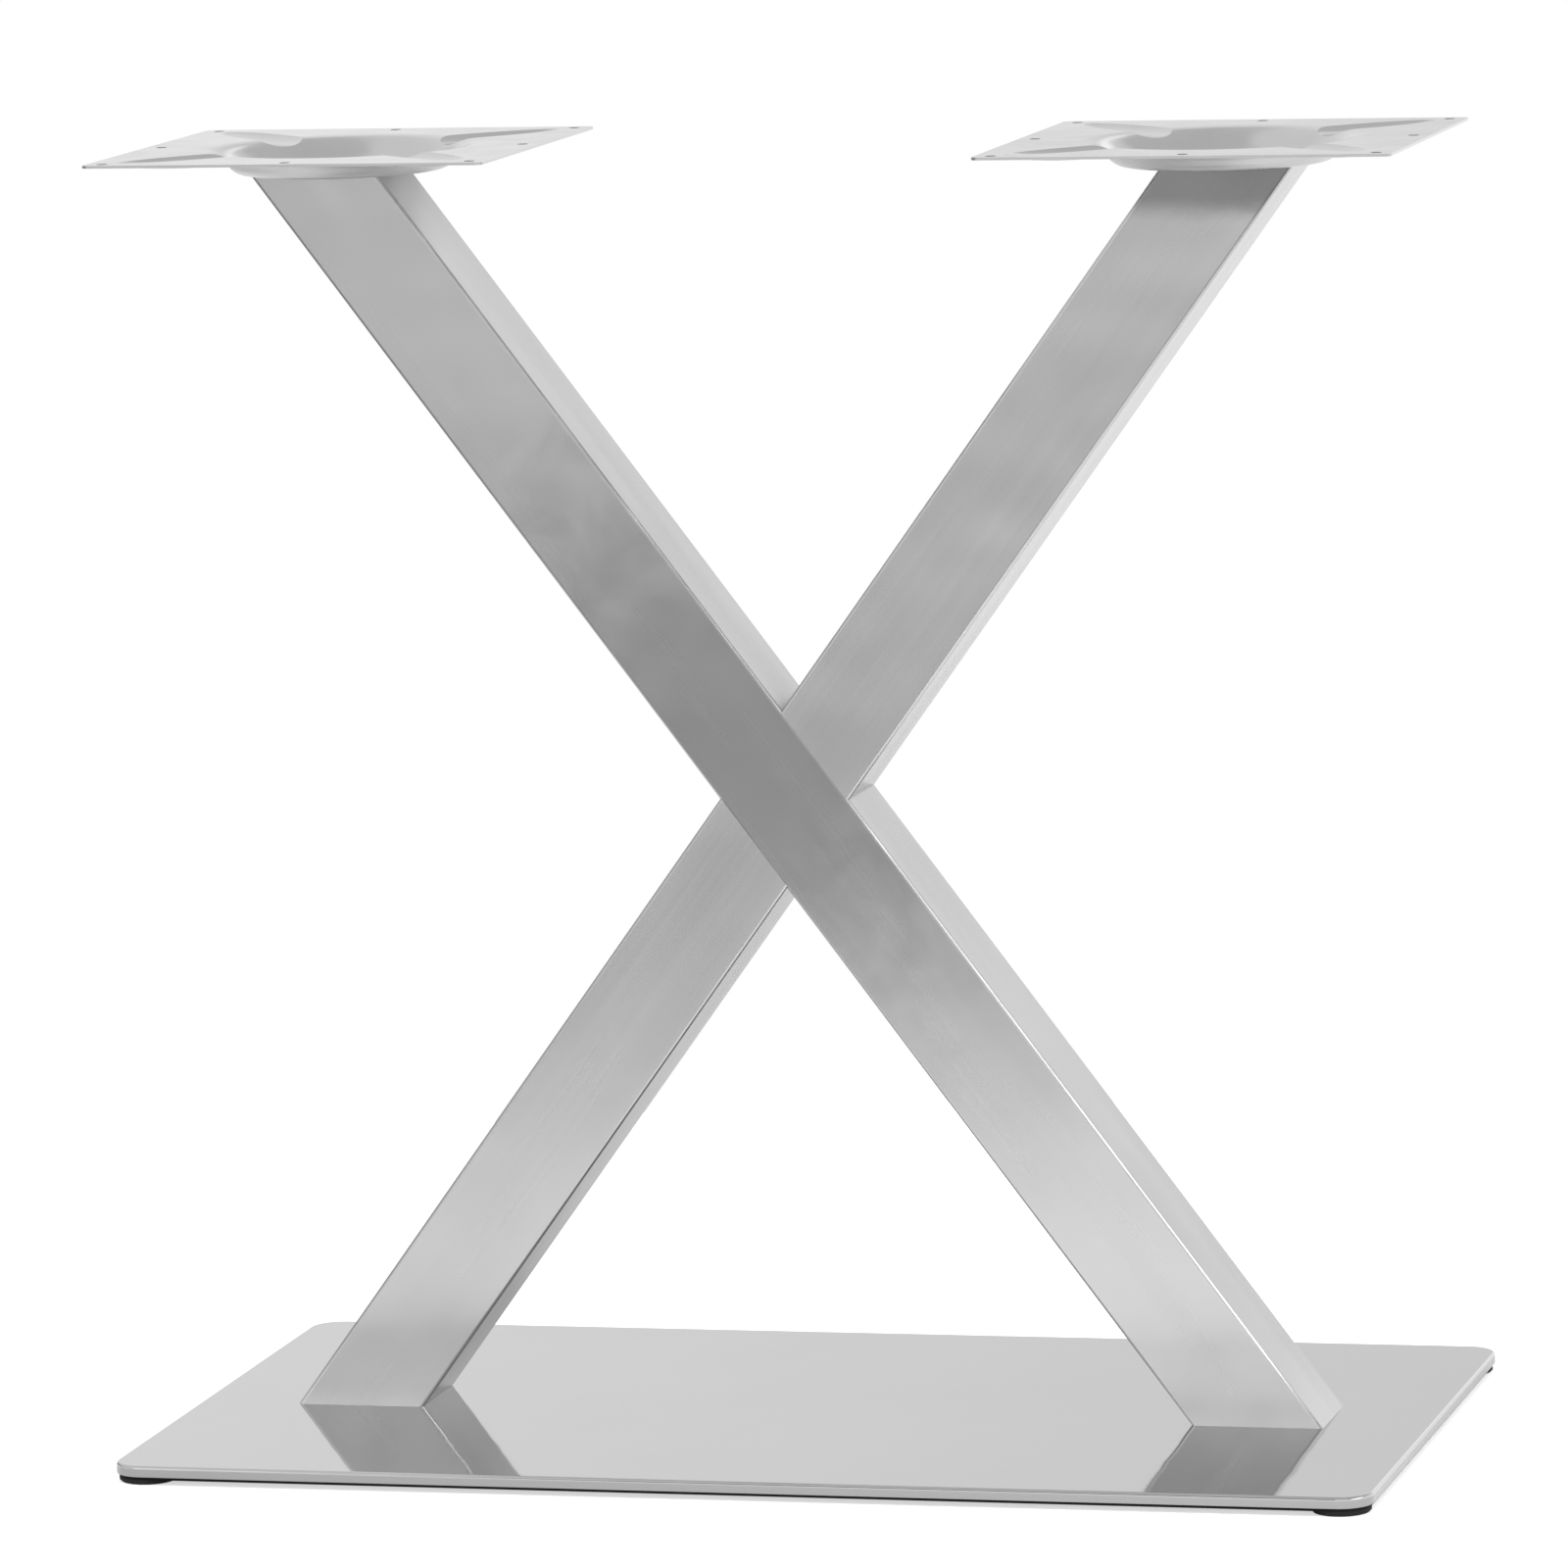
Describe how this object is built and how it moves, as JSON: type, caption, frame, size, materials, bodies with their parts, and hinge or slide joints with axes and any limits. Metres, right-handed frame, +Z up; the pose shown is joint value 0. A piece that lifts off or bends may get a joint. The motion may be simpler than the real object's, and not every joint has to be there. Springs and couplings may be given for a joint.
{
  "type": "x shaped table leg",
  "caption": "Cross-frame table base: two crossing square tubes on a flat rectangular foot, each end carrying a pressed square mounting plate for a table top.",
  "frame": {"origin": "on the floor, under the middle of the foot", "axes": "+X along the foot's long side, in the plane of the X; +Y across the foot, to its rear; +Z up"},
  "size_m": [0.74, 0.398, 0.73],
  "materials": {
    "tube_steel": "satin stainless steel, ground along the tube",
    "cover_steel": "bright stainless steel, finely ground along the foot",
    "plate_steel": "pressed stainless sheet, satin",
    "ballast_black": "black powder coat, matt",
    "inner_steel": "plain steel plate",
    "screw_steel": "zinc-plated steel",
    "pad_rubber": "black rubber, matt"
  },
  "bodies": {
    "root": {"base_cover": "cover_steel", "base_plate": "ballast_black", "front_left_pad": "pad_rubber", "front_right_pad": "pad_rubber", "rear_left_pad": "pad_rubber", "rear_right_pad": "pad_rubber", "main_tube": "tube_steel", "upper_arm_tube": "tube_steel", "lower_arm_tube": "tube_steel", "main_foot_plate": "inner_steel", "main_head_plate": "inner_steel", "lower_arm_foot_plate": "inner_steel", "upper_arm_head_plate": "inner_steel", "left_top_plate": "plate_steel", "right_top_plate": "plate_steel", "left_top_screws": "screw_steel", "right_top_screws": "screw_steel", "left_base_screws": "screw_steel", "right_base_screws": "screw_steel"}
  },
  "joints": []
}
